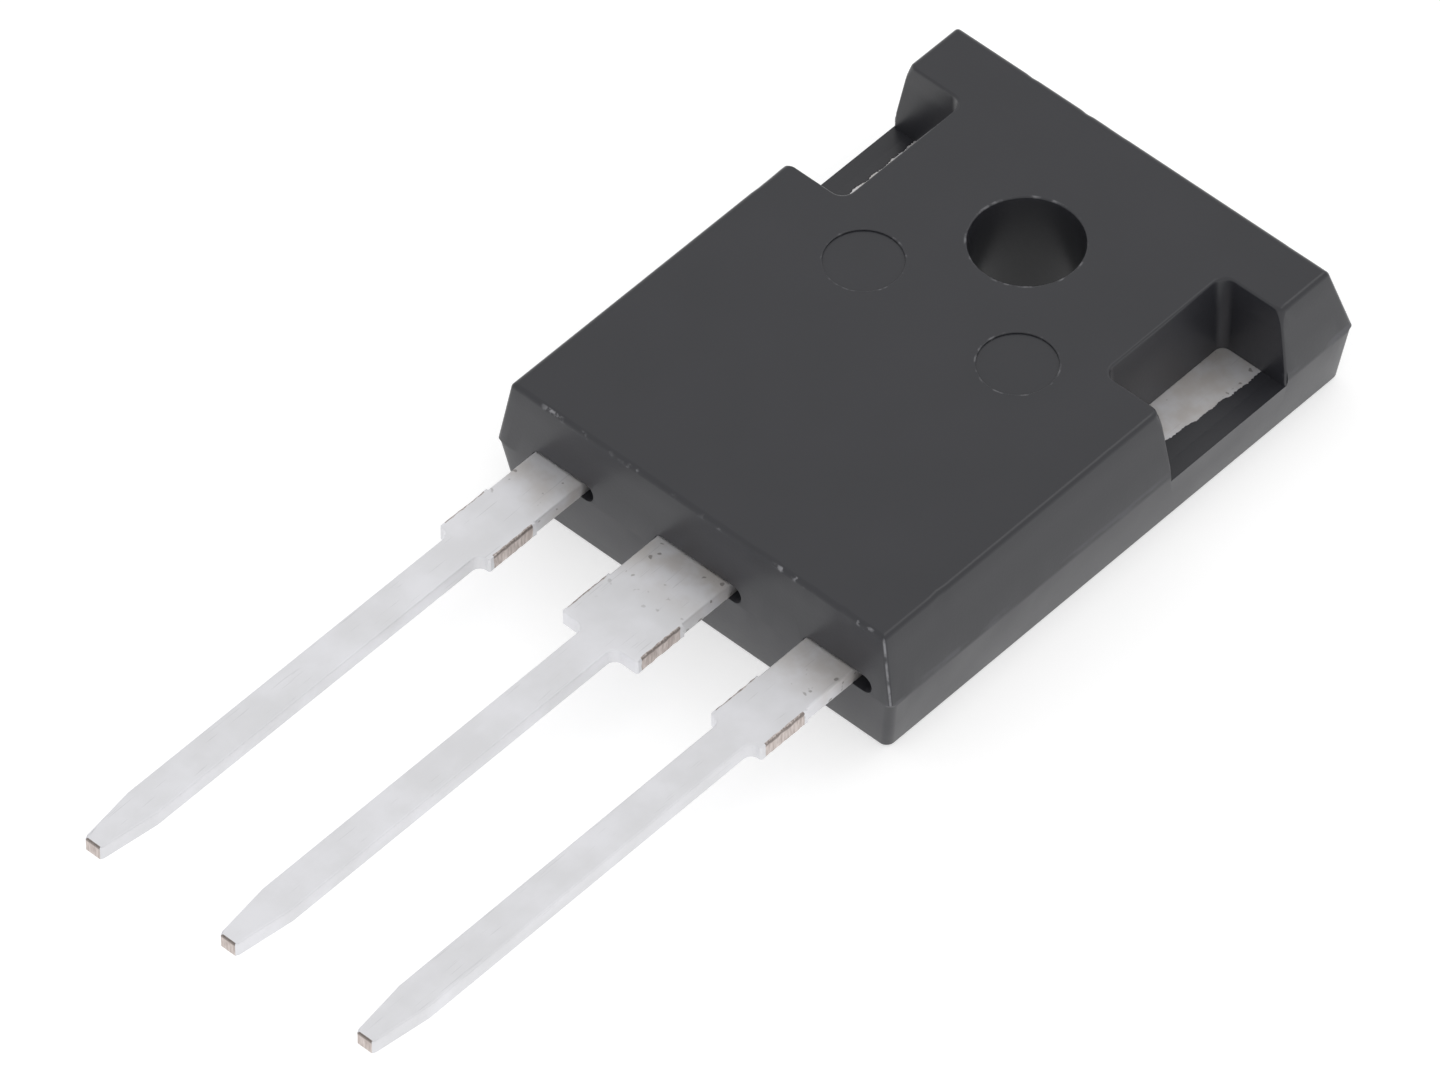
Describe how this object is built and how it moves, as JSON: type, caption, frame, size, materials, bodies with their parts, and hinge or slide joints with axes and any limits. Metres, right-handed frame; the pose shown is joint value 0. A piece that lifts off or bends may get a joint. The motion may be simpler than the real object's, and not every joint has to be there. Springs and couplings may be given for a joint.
{
  "type": "power transistor",
  "caption": "Power transistor in a three-lead moulded package, with a tinned copper lead frame, a heat-spreader back and a through hole for a mounting screw.",
  "frame": {"origin": "where the mounting hole's axis meets the back (heat-spreader) face", "axes": "+Z from the back face to the marked face along the hole's axis, +Y along the case towards its hole end, leads towards -Y, +X towards the emitter lead"},
  "size_m": [0.0158, 0.0406, 0.005],
  "materials": {
    "moulding_compound": "moulded epoxy compound, satin black",
    "tinned_copper": "matte tin plate on copper",
    "silicon": "polished silicon",
    "solder": "solder",
    "aluminium_wire": "drawn aluminium wire"
  },
  "bodies": {
    "root": {"moulded_case": "moulding_compound", "collector_frame": "tinned_copper", "base_lead": "tinned_copper", "emitter_lead": "tinned_copper", "silicon_die": "silicon", "die_solder": "solder", "base_wire": "aluminium_wire", "emitter_wire_1": "aluminium_wire", "emitter_wire_2": "aluminium_wire"}
  },
  "joints": []
}
